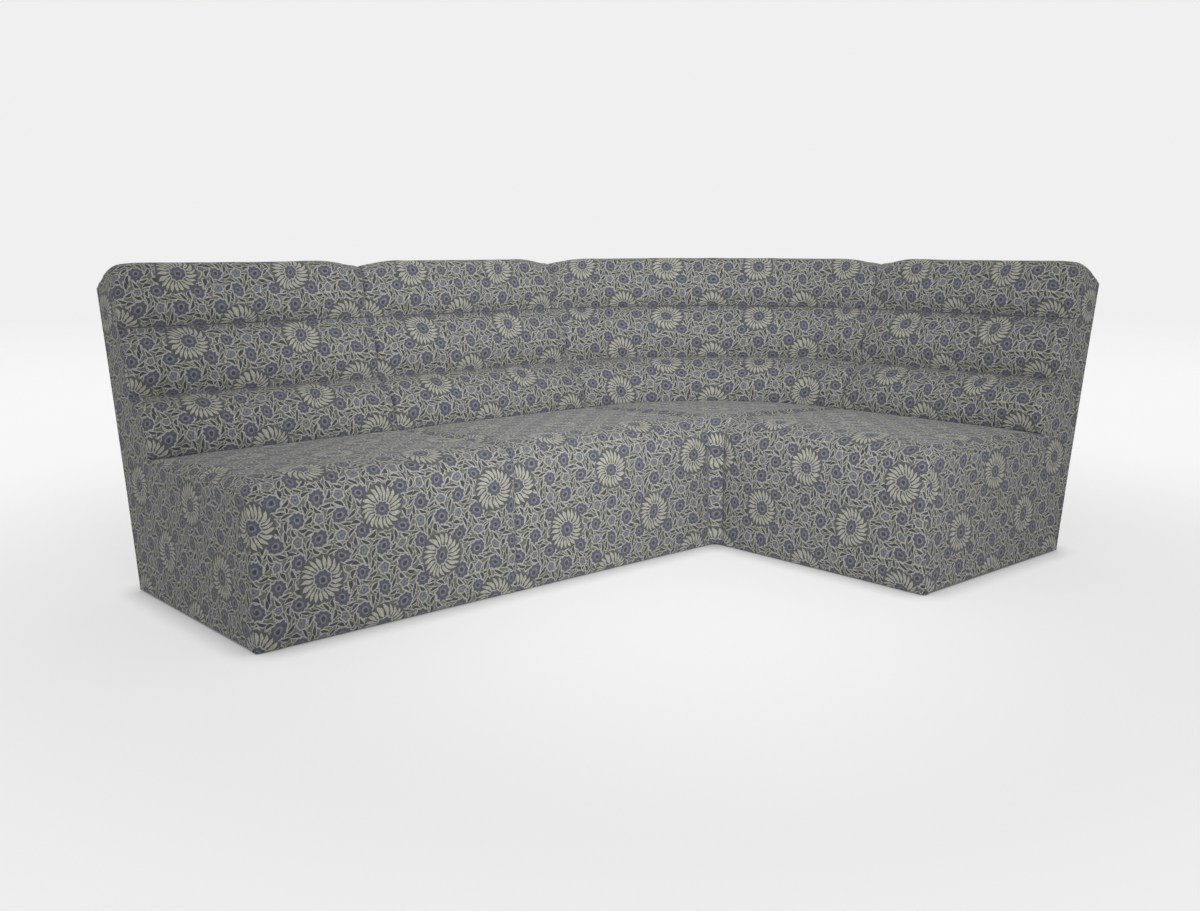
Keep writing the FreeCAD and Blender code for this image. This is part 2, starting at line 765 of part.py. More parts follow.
def corner_seat():
    """The curved seat that turns the wing through a quarter circle."""
    sofa = (0, 0, 0)
    axis = (axis_x + end_line, axis_y + end_line, 0)
    long_end, short_end = long_wing(0), short_wing(0)
    slip = dim["rib_slip"]
    inset = dim["glide_inset"]
    rear = corner_radius(cover_depth(base_level)) - inset
    front = corner_radius(board_line) + inset
    centres = [ring_spot(rear, turn) for turn in (12, 45, 78)] + [ring_spot(front, 45)]
    frames = [carry(side_frame(end_line, True, slip), long_end),
              carry(side_frame(-inner_line, True, slip), short_end)]
    place(group(frames), "corner_side_frames", sofa)
    place(group(corner_ribs(centres)), "corner_ribs", axis)
    board_low = pad_level - dim["board"]
    front_strip = [(corner_radius(dim["front_pad"]), base_level), (corner_radius(board_line), base_level),
                   (corner_radius(board_line), board_low), (corner_radius(dim["front_pad"]), board_low)]
    place(between_frames(quarter_ring(front_strip)), "corner_front_board", axis)
    deck = [(corner_radius(dim["front_pad"]), board_low), (corner_radius(frame_depth(board_low)), board_low),
            (corner_radius(frame_depth(board_low)), pad_level), (corner_radius(dim["front_pad"]), pad_level)]
    place(between_frames(quarter_ring(deck)), "corner_seat_deck", axis)
    back_strip = [(corner_radius(inside_depth(pad_level)), pad_level),
                  (corner_radius(frame_depth(pad_level)), pad_level),
                  (corner_radius(frame_depth(frame_level)), frame_level),
                  (corner_radius(inside_depth(frame_level)), frame_level)]
    place(quarter_ring(back_strip), "corner_back_board", axis)
    for part, section in SECTIONS.items():
        place(soft(corner_pad(section)), f"corner_{part}", axis)
    covers = [carry(soft(end_cover(dim["module_gap"] / 2, True)), long_end),
              carry(soft(end_cover(-end_line, True)), short_end)]
    place(group(covers), "corner_side_covers", sofa)
    outside = [(corner_radius(cover_depth(hem_level)), hem_level),
               (corner_radius(outside_depth(hem_level)), hem_level),
               (corner_radius(outside_depth(frame_level)), frame_level),
               (corner_radius(cover_depth(frame_level)), frame_level)]
    place(quarter_ring(outside), "corner_outside_back", axis)
    place(group([glide(centre) for centre in centres]), "corner_glides", axis)
    low = base_level - dim["dust_cloth"]
    cloth = [(corner_radius(dim["front_pad"]), low), (corner_radius(cover_depth(low)), low),
             (corner_radius(cover_depth(low)), base_level), (corner_radius(dim["front_pad"]), base_level)]
    place(cut(quarter_ring(cloth), glide_holes(centres)), "corner_dust_cover", axis)
    plates = [carry(group(slotted_plates(end_line, -1)), long_end),
              carry(group(slotted_plates(-end_line, 1)), short_end)]
    place(group(plates), "corner_slotted_plates", sofa)


straight_seat("left", long_wing(-2 * dim["module_width"]), None, "hooks")
straight_seat("centre", long_wing(-dim["module_width"]), "slots", "hooks")
corner_seat()
straight_seat("right", short_wing(0), "hooks", None)
doc.recompute()

# Every object is sound before anything is written
for thing in doc.Objects:
    if {"Invalid", "Error"} & set(thing.State):
        raise RuntimeError(f"{thing.Label} did not build: {thing.State}")
for piece in pieces:
    if piece.Shape.isNull() or not piece.Shape.isValid() or not piece.Shape.Solids:
        raise RuntimeError(f"{piece.Label} has no sound shape")

os.makedirs("parts", exist_ok=True)
for piece in pieces:
    piece.Shape.exportStep(f"parts/{piece.Label}.step")
print(len(pieces), "pieces written")
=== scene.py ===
"""Looks of the modular corner sofa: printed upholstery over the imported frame, with floor, light and camera.

Lengths are metres in the frame's own axes. The surfaces of a seat are worked out as (across, depth, level):
the distance along the seat from its left end, the distance behind its front plane and the height above the
floor. A spot function then carries them to the seat's place in the sofa.
"""
import math

import bpy
import numpy as np
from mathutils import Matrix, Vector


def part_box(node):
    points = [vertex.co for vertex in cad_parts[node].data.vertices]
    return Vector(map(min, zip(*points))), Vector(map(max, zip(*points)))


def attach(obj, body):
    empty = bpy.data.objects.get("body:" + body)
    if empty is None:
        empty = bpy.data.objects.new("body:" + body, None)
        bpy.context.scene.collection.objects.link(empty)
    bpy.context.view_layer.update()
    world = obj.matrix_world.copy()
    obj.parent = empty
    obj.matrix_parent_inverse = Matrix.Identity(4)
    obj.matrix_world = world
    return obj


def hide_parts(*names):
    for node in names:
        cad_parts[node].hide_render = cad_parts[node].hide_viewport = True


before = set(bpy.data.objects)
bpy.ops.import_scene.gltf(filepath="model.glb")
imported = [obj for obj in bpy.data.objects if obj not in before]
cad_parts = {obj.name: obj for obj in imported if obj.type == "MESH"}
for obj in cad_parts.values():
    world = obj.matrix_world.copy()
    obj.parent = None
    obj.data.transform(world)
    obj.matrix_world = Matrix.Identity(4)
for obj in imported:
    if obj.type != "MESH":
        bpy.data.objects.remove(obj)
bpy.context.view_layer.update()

# Places read from the solids of the left seat, which stands along X with its front towards -Y
pad_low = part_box("left_seat_pad")[0]
cover_low, cover_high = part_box("left_side_covers")
lumbar_low, lumbar_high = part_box("left_lumbar_channel")
middle_low, middle_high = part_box("left_middle_channel")
top_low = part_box("left_top_channel")[0]
board_low, board_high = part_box("left_back_board")
outside_low, outside_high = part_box("left_outside_back")

COVER = pad_low.x - cover_low.x                      # thickness of the padded ends
SEAT_WIDTH = cover_high.x - cover_low.x              # a straight seat, end to end
BASE_LEVEL = cover_low.z                             # lower edge of the fabric
SEAT_LEVEL = lumbar_low.z                            # where the seat meets the back
LUMBAR_SEAM = (lumbar_high.z + middle_low.z) / 2
MIDDLE_SEAM = (middle_high.z + top_low.z) / 2
FRAME_LEVEL = board_high.z                           # top of the wooden back
PAD_LEVEL = board_low.z                              # underside of the seat pad
TOP_DEPTH = outside_high.y - pad_low.y               # outside back at the top of the frame
BOARD_FOOT = board_low.y - pad_low.y                 # front of the back board at the pad's underside

# Upholstery
BOARD_RUN = 0.0094        # back board, measured level
OUTSIDE_RUN = 0.0062      # outside back, measured level
OUTSIDE_SUNK = OUTSIDE_RUN / 5    # outside back's edges, drawn in
OUTSIDE_BOW = 0.0005      # its middle behind its edges, where it isn't swollen
FRONT_PAD = 0.030         # apron thickness
FRONT_ROLL = 0.066        # radius of the seat's rolled front edge
HEM_ROLL = 0.005          # radius of the apron's lower edge
APRON_BOW = 0.001         # apron's middle ahead of its edges
SEAT_FALL = 0.017         # drop of the seat from front to back
LUMBAR_FOOT = 0.071       # lowest channel's lower edge ahead of the board
LUMBAR_BULGE = 0.080      # faces of the channels ahead of the board
MIDDLE_BULGE = 0.040
TOP_BULGE = 0.004         # face of the top channel ahead of its edges
SEAM_DEPTH = 0.010        # padding left over the board at a seam
TOP_SLIT = 0.002          # mouth of the upper seam's slit
TOP_OVERHANG = 0.040      # front edge of the top channel ahead of the board
TOP_ROUND = 0.040         # front edge to crest
TOP_PAD = 0.056           # padding over the frame
FOLD_POWER = 2.5          # superellipses over the crest: squarer in front, flatter behind
SHOULDER_POWER = 1.4
PAD_EASE = 0.0005         # pads to the boards behind them

# Swell of the pads away from their ends, before they are blown up
SWELL = 0.012             # channels
SEAT_SWELL = 0.006        # seat
CROWN_SHARE = 0.4         # rise of the seat's crown as a share of that, twice as much at full swell
CREST_SWELL = 0.022       # crest
CREST_POWER = 3           # which rises more slowly, as this power of the share of the swell
OUTSIDE_SWELL = 0.003     # outside back
SWELL_RUN = 0.150         # distance from an end to full swell
FREE_SWELL = 0.65         # share of the swell left at the sofa's free ends

# Rolled edges at the padded ends
EDGE_RUN = 0.016          # reach along the seat
EDGE_FALL = 0.013         # fall
FREE_EDGE = 2.0           # both are larger by this at the sofa's free ends
SEAM_SHARE = 0.2          # share of the fall at the seams, where the padding is thin
APRON_SHARE = 0.5         # on the apron
OUTSIDE_SHARE = 0.35      # on the thin outside back
FLOOR_SHARE = 0.1         # along the floor
END_GAP = 0.0002          # cloth to the end of the seat
END_RECESS = 0.0015       # ends of the pads, drawn in under the end covers

# End covers
RIM_INSET = np.array([0.0008, 0.0008, 0.0016, 0.004, 0.010])    # rings near the rim, inside the rolled edge
RIM_DEPTH = np.array([COVER, 0.0012, 0.0006, 0.0003, END_GAP])  # and how far they lie inside the seat's end
FIELD_SIZE = np.array([0.9, 0.75, 0.58, 0.4, 0.2, 0.06])        # rings further in, as shares of the rim
COVER_MIDDLE = np.array([0.845 * TOP_DEPTH, 0.39 * FRAME_LEVEL])    # point that sees the whole outline

# Points along the sections. The hidden sides of seat and channels have as many as the faces ahead of them,
# part for part, so that the ladder that closes an end stays inside the section.
HEM_POINTS = 6            # seat: lower edge, apron, front roll and crown
APRON_POINTS = 30
ROLL_POINTS = 14
CROWN_POINTS = 46
HEEL_POINTS = 6           # under the lumbar channel, down the board and under the seat
REAR_POINTS = 8
UNDER_POINTS = ROLL_POINTS + CROWN_POINTS - HEEL_POINTS - REAR_POINTS
CHANNEL_POINTS = 22
TOP_POINTS = 16           # top channel: face, fold over the front edge and shoulder
FOLD_POINTS = 16
SHOULDER_POINTS = 14
SLIT_POINTS = 2           # runs into a seam
OUTSIDE_POINTS = 60       # outside back, its edges, the floor line and the rings of a rolled edge
RIM_POINTS = 3
FLOOR_POINTS = 40
EDGE_POINTS = 8

# Cloth simulation of the pads
PRESSURE = 4
CLOTH_MASS = 0.1
CLOTH_EASE = 0.015        # extra cloth, as a share of its length
CLOTH_STEPS = 20
HELD_ROWS = 3             # rings held at each end

SEAT_SHARE = np.concatenate([np.full(HEM_POINTS + APRON_POINTS, APRON_SHARE),
                             np.linspace(APRON_SHARE, 1, ROLL_POINTS), np.ones(CROWN_POINTS)])
OUTSIDE_SLOPE = (outside_high.y - outside_low.y - OUTSIDE_RUN) / (outside_high.z - outside_low.z)
INSIDE_SLOPE = (board_high.y - board_low.y - BOARD_RUN) / (board_high.z - board_low.z)

# The corner seat turns about an upright axis; its width is measured along the foot of the back board
corner_low, corner_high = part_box("corner_back_board")
CORNER_START = corner_high.x - corner_low.x - (board_high.y - pad_low.y)
BOARD_AT_SEAT = BOARD_FOOT + INSIDE_SLOPE * (SEAT_LEVEL - PAD_LEVEL)
CORNER_WIDTH = math.pi / 2 * (CORNER_START + BOARD_AT_SEAT) + 2 * COVER


# Spots of the seats


def straight_spot(start, front, along, back):
    """Place of a straight seat: its start plus across times one level direction and depth times another."""
    def spot(form):
        across, depth, level = np.moveaxis(form, -1, 0)
        x = start + across * along[0] + depth * back[0]
        y = front + across * along[1] + depth * back[1]
        return np.stack([x, y, level], axis=-1)
    return spot


def corner_spot(form):
    """Place in the corner seat: the section turned through a quarter circle, with the angle falling evenly
    from 90 to 0 degrees, and a straight stub as long as the end cover before and after the turn."""
    across, depth, level = np.moveaxis(form, -1, 0)
    along = np.clip(across, COVER, CORNER_WIDTH - COVER)
    angle = math.pi / 2 * (1 - (along - COVER) / (CORNER_WIDTH - 2 * COVER))
    stub = across - along
    radius = depth + CORNER_START
    x = corner_low.x + radius * np.cos(angle) + stub * np.sin(angle)
    y = corner_low.y + radius * np.sin(angle) - stub * np.cos(angle)
    return np.stack([x, y, level], axis=-1)


def straight_cloth(across, depth, length, cone):
    """Flat place on the cloth of a straight seat: across it and along its section."""
    return np.broadcast_arrays(across, length)


def corner_cloth(across, depth, length, cone):
    """Flat place on the cloth of the corner seat, as if its cone were unrolled: cone is the share by which
    the radius grows with the length along the section, and the angle round the axis shrinks by it."""
    along = np.clip(across, COVER, CORNER_WIDTH - COVER)
    angle = cone * (along - CORNER_WIDTH / 2) / (CORNER_START + BOARD_AT_SEAT)
    slant = (depth + CORNER_START) / cone
    stub = across - along
    u = slant * np.sin(angle) + stub * np.cos(angle)
    v = length - slant * (1 - np.cos(angle)) - stub * np.sin(angle)
    return u, v


centre_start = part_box("centre_side_covers")[0].x
right_front, right_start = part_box("right_seat_pad")[0].x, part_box("right_side_covers")[1].y
left_spot = straight_spot(cover_low.x, pad_low.y, (1, 0), (0, 1))
centre_spot = straight_spot(centre_start, pad_low.y, (1, 0), (0, 1))
right_spot = straight_spot(right_front, right_start, (0, -1), (1, 0))

# Spot, flat cloth, width and which of the two ends are free
SEATS = {
    "left": (left_spot, straight_cloth, SEAT_WIDTH, (True, False)),
    "centre": (centre_spot, straight_cloth, SEAT_WIDTH, (False, False)),
    "corner": (corner_spot, corner_cloth, CORNER_WIDTH, (False, False)),
    "right": (right_spot, straight_cloth, SEAT_WIDTH, (False, True)),
}


# Sections, as arrays of (depth, level) with one row of points for each share of the swell


def board_point(level, ahead=0.0):
    """Point a distance ahead of the back board at a level."""
    return np.array([BOARD_FOOT + INSIDE_SLOPE * (level - PAD_LEVEL) - ahead, level])


def outside_depth(level):
    """Depth of the outside back, which leans evenly from the floor to the top of the frame."""
    return TOP_DEPTH - OUTSIDE_SLOPE * (FRAME_LEVEL - level)


def line(start, end, count, full):
    """Points spread evenly from start to end, the same in every row, without the end point."""
    t = np.linspace(0, 1, count, endpoint=False)[:, None]
    points = np.asarray(start) * (1 - t) + np.asarray(end) * t
    return np.broadcast_to(points, (len(full), count, 2))


def arc(start, through, end, count):
    """Circle through three points, from the first towards the last, without the last point. The centre comes
    from the two equations that put it at the same distance from all three; the angle runs evenly."""
    start, through, end = np.broadcast_arrays(start, through, end)
    chords = np.stack([through - start, end - start], axis=-2)
    halves = (np.sum(through ** 2 - start ** 2, axis=-1), np.sum(end ** 2 - start ** 2, axis=-1))
    centre = np.linalg.solve(2 * chords, np.stack(halves, axis=-1)[..., None])[..., 0]
    first, last = start - centre, end - centre
    radius = np.linalg.norm(first, axis=-1)
    angle = np.arctan2(first[..., 1], first[..., 0])
    sweep = np.arctan2(last[..., 1], last[..., 0]) - angle
    sweep = (sweep + math.pi) % (2 * math.pi) - math.pi
    turned = angle[..., None] + sweep[..., None] * np.linspace(0, 1, count, endpoint=False)
    spokes = np.stack([np.cos(turned), np.sin(turned)], axis=-1)
    return centre[..., None, :] + radius[..., None, None] * spokes


def pairs(depth, level):
    """Points from depths and levels, either of which may be one number for all."""
    return np.stack(np.broadcast_arrays(depth, level), axis=-1)


def quarter(centre, reach_depth, reach_level, first, last, count, power=2):
    """Stretch of a superellipse: depth and level from the centre are the two reaches times the cosine and
    sine of an angle, each to the power 2 / power. Power 2 is an ellipse."""
    angle = np.linspace(first, last, count, endpoint=False)
    spoke = np.stack([np.cos(angle), np.sin(angle)], axis=-1)
    share = np.sign(spoke) * np.abs(spoke) ** (2 / power)
    reach = np.stack(np.broadcast_arrays(reach_depth, reach_level), axis=-1)
    return np.asarray(centre)[..., None, :] + reach[..., None, :] * share


def seat_section(full):
    """Waterfall seat: apron straight up, quarter circle of the front roll, crowned top; then the hidden
    sides along the board, the webbing and the front board."""
    top = SEAT_LEVEL + SEAT_FALL + SEAT_SWELL * full
    low, lip = BASE_LEVEL + HEM_ROLL, top - FRONT_ROLL
    hem = quarter((HEM_ROLL, low), HEM_ROLL + 0 * full, HEM_ROLL, -math.pi / 2, -math.pi, HEM_POINTS)
    apron = arc(pairs(0, low), pairs(-APRON_BOW, (low + lip) / 2), pairs(0, lip), APRON_POINTS)
    roll = quarter(pairs(FRONT_ROLL, lip), FRONT_ROLL, FRONT_ROLL, math.pi, math.pi / 2, ROLL_POINTS)
    heel = pairs(board_point(SEAT_LEVEL, LUMBAR_FOOT)[0] + 0 * full, SEAT_LEVEL)
    rise = SEAT_SWELL * CROWN_SHARE * (1 + full)
    middle = pairs((FRONT_ROLL + heel[:, 0]) / 2, (top + SEAT_LEVEL) / 2 + rise)
    crown = arc(pairs(FRONT_ROLL, top), middle, heel, CROWN_POINTS)
    face = np.concatenate([hem, apron, roll, crown], axis=1)
    rear = board_point(SEAT_LEVEL, PAD_EASE)
    corner = board_point(PAD_LEVEL, PAD_EASE)
    knee = (FRONT_PAD - PAD_EASE, PAD_LEVEL)
    inside = (FRONT_PAD - PAD_EASE, BASE_LEVEL)
    hidden = [line(heel[:, None], rear, HEEL_POINTS, full), line(rear, corner, REAR_POINTS, full),
              line(corner, knee, UNDER_POINTS, full), line(knee, inside, APRON_POINTS, full),
              line(inside, (HEM_ROLL, BASE_LEVEL), HEM_POINTS, full)]
    return face, np.concatenate(hidden, axis=1)


def channel_section(low, high, foot, bulge, full):
    """Stuffed roll between two seams: an arc in front, flat on the board behind."""
    start, end = board_point(low, foot), board_point(high, SEAM_DEPTH)
    middle = board_point((low + high) / 2, bulge)
    face = arc(start, pairs(middle[0] - SWELL * full, middle[1]), end, CHANNEL_POINTS)
    head, heel = board_point(high, PAD_EASE), board_point(low, PAD_EASE)
    hidden = [line(end, head, SLIT_POINTS, full),
              line(head, heel, CHANNEL_POINTS - SLIT_POINTS - HEEL_POINTS, full),
              line(heel, start, HEEL_POINTS, full)]
    return face, np.concatenate(hidden, axis=1)


def lumbar_section(full):
    """Lowest channel, the fullest."""
    return channel_section(SEAT_LEVEL, LUMBAR_SEAM, LUMBAR_FOOT, LUMBAR_BULGE, full)


def middle_section(full):
    """Middle channel."""
    return channel_section(LUMBAR_SEAM, MIDDLE_SEAM, SEAM_DEPTH, MIDDLE_BULGE, full)


def top_section(full):
    """Top channel: an arc for its face, a superellipse over the front edge to the crest, a flatter one down
    to the outside back; then the hidden sides over the frame and along the board, and a tongue that closes
    the slit of the seam halfway in."""
    start = board_point(MIDDLE_SEAM + TOP_SLIT, SEAM_DEPTH)
    edge = board_point(FRAME_LEVEL, TOP_OVERHANG)
    crest_depth = edge[0] + TOP_ROUND
    rise = TOP_PAD + CREST_SWELL * full ** CREST_POWER
    middle = (start + edge) / 2
    face = arc(start, pairs(middle[0] - TOP_BULGE - SWELL * full, middle[1]), edge, TOP_POINTS)
    centre = np.array([crest_depth, FRAME_LEVEL])
    fold = quarter(centre, TOP_ROUND, rise, math.pi, math.pi / 2, FOLD_POINTS, FOLD_POWER)
    behind = TOP_DEPTH - crest_depth
    shoulder = quarter(centre, behind, rise, math.pi / 2, 0, SHOULDER_POINTS, SHOULDER_POWER)
    visible = np.concatenate([face, fold, shoulder], axis=1)
    back = np.array([TOP_DEPTH, FRAME_LEVEL])
    head, heel = board_point(FRAME_LEVEL, PAD_EASE), board_point(MIDDLE_SEAM, PAD_EASE)
    tongue = board_point(MIDDLE_SEAM, SEAM_DEPTH / 2)
    hidden = [line(back, head, FOLD_POINTS + SHOULDER_POINTS, full),
              line(head, heel, TOP_POINTS - 2 * SLIT_POINTS, full),
              line(heel, tongue, SLIT_POINTS, full), line(tongue, start, SLIT_POINTS, full)]
    return visible, np.concatenate(hidden, axis=1)


def outside_section(full):
    """Outside back: a thin padded panel from the floor to the top channel, a little crowned outwards."""
    low = np.array([outside_depth(BASE_LEVEL), BASE_LEVEL])
    high = np.array([TOP_DEPTH, FRAME_LEVEL - PAD_EASE])
    inner = np.array([OUTSIDE_RUN, 0])
    rim = np.array([OUTSIDE_SUNK, 0])
    middle = (low + high) / 2 - rim
    bowed = pairs(middle[0] + OUTSIDE_BOW + OUTSIDE_SWELL * full, middle[1])
    face = arc(high - rim, bowed, low - rim, OUTSIDE_POINTS)
    hidden = [line(low - rim, low - inner, RIM_POINTS, full),
              line(low - inner, high - inner, OUTSIDE_POINTS // 2, full),
              line(high - inner, high - rim, RIM_POINTS, full)]
    return face, np.concatenate(hidden, axis=1)


def seat_outline(swell):
    """Whole side view of a seat at an end with a share of the swell: seat, lumbar, middle and top faces,
    outside back and floor, with the share of the rolled edge's fall at each point."""
    full = np.array([swell])
    faces = [section(full)[0][0] for section in (seat_section, lumbar_section, middle_section, top_section)]
    shares = [edge_share(len(face)) for face in faces]
    shares[0] = shares[0] * SEAT_SHARE
    faces[0], shares[0] = faces[0][HEM_POINTS:], shares[0][HEM_POINTS:]
    back, foot = (TOP_DEPTH, FRAME_LEVEL), (outside_depth(BASE_LEVEL), BASE_LEVEL)
    rest = [line(back, foot, OUTSIDE_POINTS, full)[0], line(foot, (0, BASE_LEVEL), FLOOR_POINTS, full)[0]]
    shares += [np.full(OUTSIDE_POINTS, OUTSIDE_SHARE), np.full(FLOOR_POINTS, FLOOR_SHARE)]
    return np.concatenate(faces + rest), np.concatenate(shares)


# Meshes


def edge_size(free):
    """Size of the rolled edge at an end."""
    return FREE_EDGE if free else 1.0


def end_swell(free):
    """Share of the swell left at an end: none at a joint, where the neighbours are drawn together."""
    return FREE_SWELL if free else 0.0


def swell_share(across, width, ends):
    """Share of the swell: a quarter ellipse that rises over SWELL_RUN from its share at an end to one."""
    share = np.ones(len(across))
    for free, near in zip(ends, (across, width - across)):
        short = np.clip(1 - np.clip(near - COVER, 0, None) / SWELL_RUN, 0, 1)
        share = share - (1 - end_swell(free)) * (1 - np.sqrt(1 - short ** 2))
    return share


def inward_normals(points, closed):
    """Unit normals that point into clockwise outlines, from the difference of the two neighbours."""
    along = np.gradient(points, axis=-2)
    if closed:
        along = np.roll(points, -1, axis=-2) - np.roll(points, 1, axis=-2)
    normal = np.stack([along[..., 1], -along[..., 0]], axis=-1)
    return normal / np.linalg.norm(normal, axis=-1, keepdims=True)


def edge_share(count):
    """Share of the rolled edge's fall along a face: half a sine wave on top of the share at its seams."""
    return SEAM_SHARE + (1 - SEAM_SHARE) * np.sin(np.linspace(0, math.pi, count))


def ring_faces(rows, count):
    """Quads of a closed form made of rings with an even number of points: first those between neighbouring
    rings, then a ladder at each end between the first half of the ring and the second half in reverse."""
    row, step = np.meshgrid(np.arange(rows - 1), np.arange(count), indexing="ij")
    following = (step + 1) % count
    sides = np.stack([row * count + step, (row + 1) * count + step,
                      (row + 1) * count + following, row * count + following], axis=-1).reshape(-1, 4)
    rung = np.arange(count // 2 - 1)
    first = np.stack([rung, rung + 1, count - 2 - rung, count - 1 - rung], axis=-1)
    return np.concatenate([sides, first, first[:, ::-1] + (rows - 1) * count])


def mesh_piece(name, points, faces):
    """Object with a smooth mesh."""
    mesh = bpy.data.meshes.new(name)
    mesh.from_pydata(points.reshape(-1, 3).tolist(), [], faces.tolist())
    mesh.polygons.foreach_set("use_smooth", np.ones(len(mesh.polygons), bool))
    mesh.update()
    piece = bpy.data.objects.new(name, mesh)
    bpy.context.scene.collection.objects.link(piece)
    return piece


def ring_mesh(name, points, cloth):
    """Closed piece from rings. cloth holds a flat place on the fabric, in metres, for each point and for
    each ring's repeated first point, which the last quad of a ring takes."""
    rows, count = points.shape[:2]
    faces = ring_faces(rows, count)
    piece = mesh_piece(name, points, faces)
    row_of, step_of = np.divmod(faces, count)
    closing = (step_of == 0) & (step_of.max(axis=1, keepdims=True) == count - 1)
    ladders = (rows - 1) * count
    closing[ladders:] = False
    picks = row_of * (count + 1) + np.where(closing, count, step_of)
    layer = piece.data.uv_layers.new(name="Cloth")
    layer.data.foreach_set("uv", cloth.reshape(-1, 2)[picks.ravel()].astype(np.float32).ravel())
    return piece


def blown_up(points, face_count, limit):
    """Pad swollen as cloth by an even pressure inside it. The cloth is a little larger than the form, so it
    bulges until it is taut. The seams, the sides that lie on the frame and the ends stay where they are, and
    the others move no further than the limit, which they near smoothly."""
    if not limit:
        return points
    rows, count = points.shape[:2]
    piece = mesh_piece("blown_up", points, ring_faces(rows, count))
    row, step = np.divmod(np.arange(rows * count), count)
    held = (step == 0) | (step >= face_count) | (row < HELD_ROWS) | (row >= rows - HELD_ROWS)
    piece.vertex_groups.new(name="held").add(np.flatnonzero(held).tolist(), 1.0, "REPLACE")
    modifier = piece.modifiers.new("Cloth", "CLOTH")
    modifier.collision_settings.use_collision = False
    settings = modifier.settings
    settings.vertex_group_mass = "held"
    settings.mass = CLOTH_MASS
    settings.shrink_min = -CLOTH_EASE
    settings.use_pressure = True
    settings.uniform_pressure_force = PRESSURE
    settings.effector_weights.gravity = 0
    for moment in range(1, CLOTH_STEPS + 1):
        bpy.context.scene.frame_set(moment)
    swollen = piece.evaluated_get(bpy.context.evaluated_depsgraph_get()).data
    places = np.empty(points.size, np.float32)
    swollen.vertices.foreach_get("co", places)
    moved = places.reshape(points.shape) - points
    bpy.data.objects.remove(piece)
    bpy.context.scene.frame_set(1)
    distance = np.linalg.norm(moved, axis=-1, keepdims=True) + 1e-9
    return points + moved * (limit * np.tanh(distance / limit) / distance)


def ring_lengths(ring):
    """Distance along a closed outline at each point and back at the first."""
    steps = np.linalg.norm(np.roll(ring, -1, axis=0) - ring, axis=-1)
    return np.concatenate([[0], np.cumsum(steps)])


def end_rows(size):
    """Across, fall and recess of the rings at an end: a recess that takes the end cover, then a quarter
    ellipse of the rolled edge, made larger by a size."""
    turn = np.linspace(math.pi / 2, 0, EDGE_POINTS)
    across = np.concatenate([[COVER, COVER / 2], size * EDGE_RUN * (1 - np.sin(turn)) + END_GAP])
    fall = size * EDGE_FALL * np.concatenate([[1, 1], 1 - np.cos(turn)])
    recess = np.concatenate([[END_RECESS, END_RECESS], 0 * turn])
    return np.stack([across, fall, recess])


def rows_across(width, spacing, ends):
    """Across, fall and recess of all rings of a sewn pad: those at one end, the body, those at the other."""
    first, last = end_rows(edge_size(ends[0])), end_rows(edge_size(ends[1]))[:, ::-1]
    last[0] = width - last[0]
    middle = np.linspace(first[0, -1], last[0, 0], round(width / spacing) + 2)[1:-1]
    body = np.stack([middle, 0 * middle, 0 * middle])
    return np.concatenate([first, body, last], axis=1)


def sewn_pad(seat, node):
    """Pad in closed form: its section carried across the seat, drawn in towards both ends, rolled over the
    edges of the end covers and blown up."""
    spot, flat, width, ends = SEATS[seat]
    section, share, cone, spacing, limit = SECTIONS[node]
    across, fall, recess = rows_across(width, spacing, ends)
    face, hidden = section(swell_share(across, width, ends))
    inset = fall[:, None] * share * edge_share(face.shape[1]) + recess[:, None]
    sunk = face + inset[..., None] * inward_normals(face, False)
    ring = np.concatenate([face, hidden], axis=1)
    ring = ring + recess[:, None, None] * inward_normals(ring, True)
    ring[:, :face.shape[1]] = sunk
    form = np.stack(np.broadcast_arrays(across[:, None], ring[..., 0], ring[..., 1]), axis=-1)
    points = blown_up(spot(form), face.shape[1], limit)
    middle = ring[len(ring) // 2]
    depths = np.append(middle[:, 0], middle[0, 0])
    rolled = np.zeros((len(ring), len(depths)))
    rolled[:, :face.shape[1]] = inset
    unrolled = across[:, None] + rolled * np.sign(across - width / 2)[:, None]
    cloth = np.stack(flat(unrolled, depths, ring_lengths(middle), cone), axis=-1)
    return ring_mesh(f"{seat}_{node}_cloth", points, cloth)


def end_cover(seat, outward):
    """Padded end: the side outline within the rolled edges, a hair lower at its sewn rim, flat at the frame.
    The rings near the rim are insets of the outline; further in, on both faces, they shrink towards a point
    from which the whole outline can be seen."""
    spot, _, width, ends = SEATS[seat]
    free = ends[outward > 0]
    outline, share = seat_outline(end_swell(free))
    fall = EDGE_FALL * edge_size(free) * share
    rim = outline + (fall + RIM_INSET[:, None])[..., None] * inward_normals(outline, True)
    inside = COVER_MIDDLE + FIELD_SIZE[::-1, None, None] * (rim[0] - COVER_MIDDLE)
    outside = COVER_MIDDLE + FIELD_SIZE[:, None, None] * (rim[-1] - COVER_MIDDLE)
    ring = np.concatenate([inside, rim, outside])
    flat = np.zeros(len(FIELD_SIZE))
    across = np.concatenate([flat + COVER, RIM_DEPTH, flat + END_GAP])
    if outward > 0:
        across = width - across
    else:
        ring, across = ring[::-1], across[::-1]
    form = np.stack(np.broadcast_arrays(across[:, None], ring[..., 0], ring[..., 1]), axis=-1)
    cloth = np.concatenate([ring, ring[:, :1]], axis=1)
    side = "right" if outward > 0 else "left"
    return ring_mesh(f"{seat}_{side}_end_cloth", spot(form), cloth)


# Shader maths


